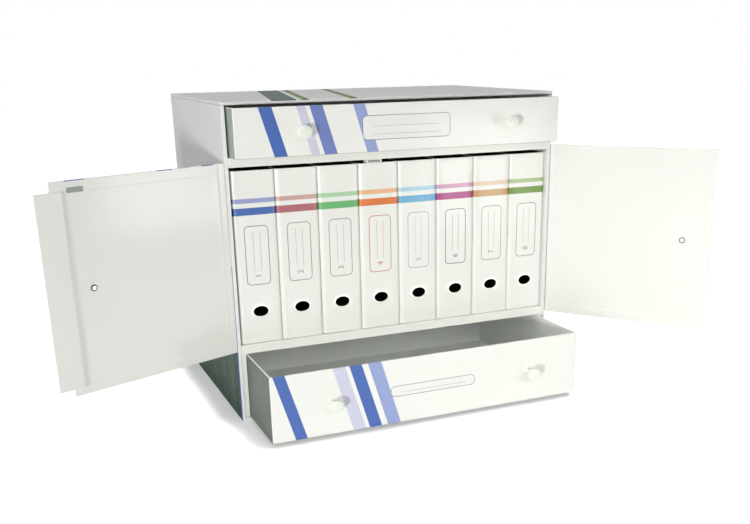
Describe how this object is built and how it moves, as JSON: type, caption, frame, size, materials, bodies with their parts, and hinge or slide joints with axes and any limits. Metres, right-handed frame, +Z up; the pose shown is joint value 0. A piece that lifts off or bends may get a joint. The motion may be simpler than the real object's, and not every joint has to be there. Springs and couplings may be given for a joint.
{
  "type": "file cabinet with drawers",
  "caption": "Covered board cabinet: a shallow drawer on top, a bay of upright lever-arch files behind two hinged doors, and a deep drawer below.",
  "frame": {"origin": "middle of the cabinet's underside, on the surface that it stands on", "axes": "+X to the right of someone facing the doors, -Y towards that person and the way the drawers pull out, +Z up"},
  "size_m": [1.1939, 0.6985, 0.586],
  "materials": {
    "covered_board": "glossy white printed paper over board",
    "plain_board": "bare grey board",
    "file_board": "satin white printed paper over board",
    "hinge_cloth": "matt book cloth",
    "steel": "nickel plated",
    "knob_plastic": "gloss",
    "catch_plastic": "satin",
    "magnet_ferrite": "matt"
  },
  "bodies": {
    "cabinet": {"left_side_wall": "covered_board", "right_side_wall": "covered_board", "top_board": "covered_board", "bottom_board": "covered_board", "back_board": "covered_board", "shelf_board": "covered_board", "divider_board": "covered_board", "bay_stop_board": "covered_board", "left_drawer_guide": "covered_board", "right_drawer_guide": "covered_board", "left_case_hinge_cloth": "hinge_cloth", "right_case_hinge_cloth": "hinge_cloth", "catch_housing": "catch_plastic", "catch_magnet": "magnet_ferrite"},
    "top_drawer": {"top_drawer_front": "covered_board", "top_drawer_left_side": "plain_board", "top_drawer_right_side": "plain_board", "top_drawer_floor": "plain_board", "top_drawer_back": "plain_board", "top_drawer_left_knob": "knob_plastic", "top_drawer_right_knob": "knob_plastic", "top_drawer_left_knob_screw": "steel", "top_drawer_right_knob_screw": "steel"},
    "bottom_drawer": {"bottom_drawer_front": "covered_board", "bottom_drawer_left_side": "plain_board", "bottom_drawer_right_side": "plain_board", "bottom_drawer_floor": "plain_board", "bottom_drawer_back": "plain_board", "bottom_drawer_left_knob": "knob_plastic", "bottom_drawer_right_knob": "knob_plastic", "bottom_drawer_left_knob_screw": "steel", "bottom_drawer_right_knob_screw": "steel"},
    "left_door": {"left_door_panel": "covered_board", "left_door_hinge_cloth": "hinge_cloth", "left_door_overlap_strip": "covered_board", "left_door_strike_plate": "steel", "left_door_knob": "knob_plastic", "left_door_knob_screw": "steel"},
    "right_door": {"right_door_panel": "covered_board", "right_door_hinge_cloth": "hinge_cloth", "right_door_knob": "knob_plastic", "right_door_knob_screw": "steel"},
    "file_1": {"file_1_cover": "file_board", "file_1_mechanism": "steel"},
    "file_2": {"file_2_cover": "file_board", "file_2_mechanism": "steel"},
    "file_3": {"file_3_cover": "file_board", "file_3_mechanism": "steel"},
    "file_4": {"file_4_cover": "file_board", "file_4_mechanism": "steel"},
    "file_5": {"file_5_cover": "file_board", "file_5_mechanism": "steel"},
    "file_6": {"file_6_cover": "file_board", "file_6_mechanism": "steel"},
    "file_7": {"file_7_cover": "file_board", "file_7_mechanism": "steel"},
    "file_8": {"file_8_cover": "file_board", "file_8_mechanism": "steel"}
  },
  "joints": [
    {"name": "top_drawer_slide", "type": "slide", "parent": "cabinet", "child": "top_drawer", "axis": [0, -1, 0], "range_m": [-0.0405, 0.2595]},
    {"name": "bottom_drawer_slide", "type": "slide", "parent": "cabinet", "child": "bottom_drawer", "axis": [0, -1, 0], "range_m": [-0.149, 0.151]},
    {"name": "left_door_hinge", "type": "hinge", "parent": "cabinet", "child": "left_door", "pos_m": [-0.332, -0.2203, 0.31125], "axis": [0, 0, -1], "range_deg": [-158, 22]},
    {"name": "right_door_hinge", "type": "hinge", "parent": "cabinet", "child": "right_door", "pos_m": [0.332, -0.2203, 0.31125], "axis": [0, 0, 1], "range_deg": [-128, 52]},
    {"name": "file_1_slide", "type": "slide", "parent": "cabinet", "child": "file_1", "axis": [0, -1, 0], "range_m": [0, 0.25]},
    {"name": "file_2_slide", "type": "slide", "parent": "cabinet", "child": "file_2", "axis": [0, -1, 0], "range_m": [0, 0.25]},
    {"name": "file_3_slide", "type": "slide", "parent": "cabinet", "child": "file_3", "axis": [0, -1, 0], "range_m": [0, 0.25]},
    {"name": "file_4_slide", "type": "slide", "parent": "cabinet", "child": "file_4", "axis": [0, -1, 0], "range_m": [0, 0.25]},
    {"name": "file_5_slide", "type": "slide", "parent": "cabinet", "child": "file_5", "axis": [0, -1, 0], "range_m": [0, 0.25]},
    {"name": "file_6_slide", "type": "slide", "parent": "cabinet", "child": "file_6", "axis": [0, -1, 0], "range_m": [0, 0.25]},
    {"name": "file_7_slide", "type": "slide", "parent": "cabinet", "child": "file_7", "axis": [0, -1, 0], "range_m": [0, 0.25]},
    {"name": "file_8_slide", "type": "slide", "parent": "cabinet", "child": "file_8", "axis": [0, -1, 0], "range_m": [0, 0.25]}
  ]
}
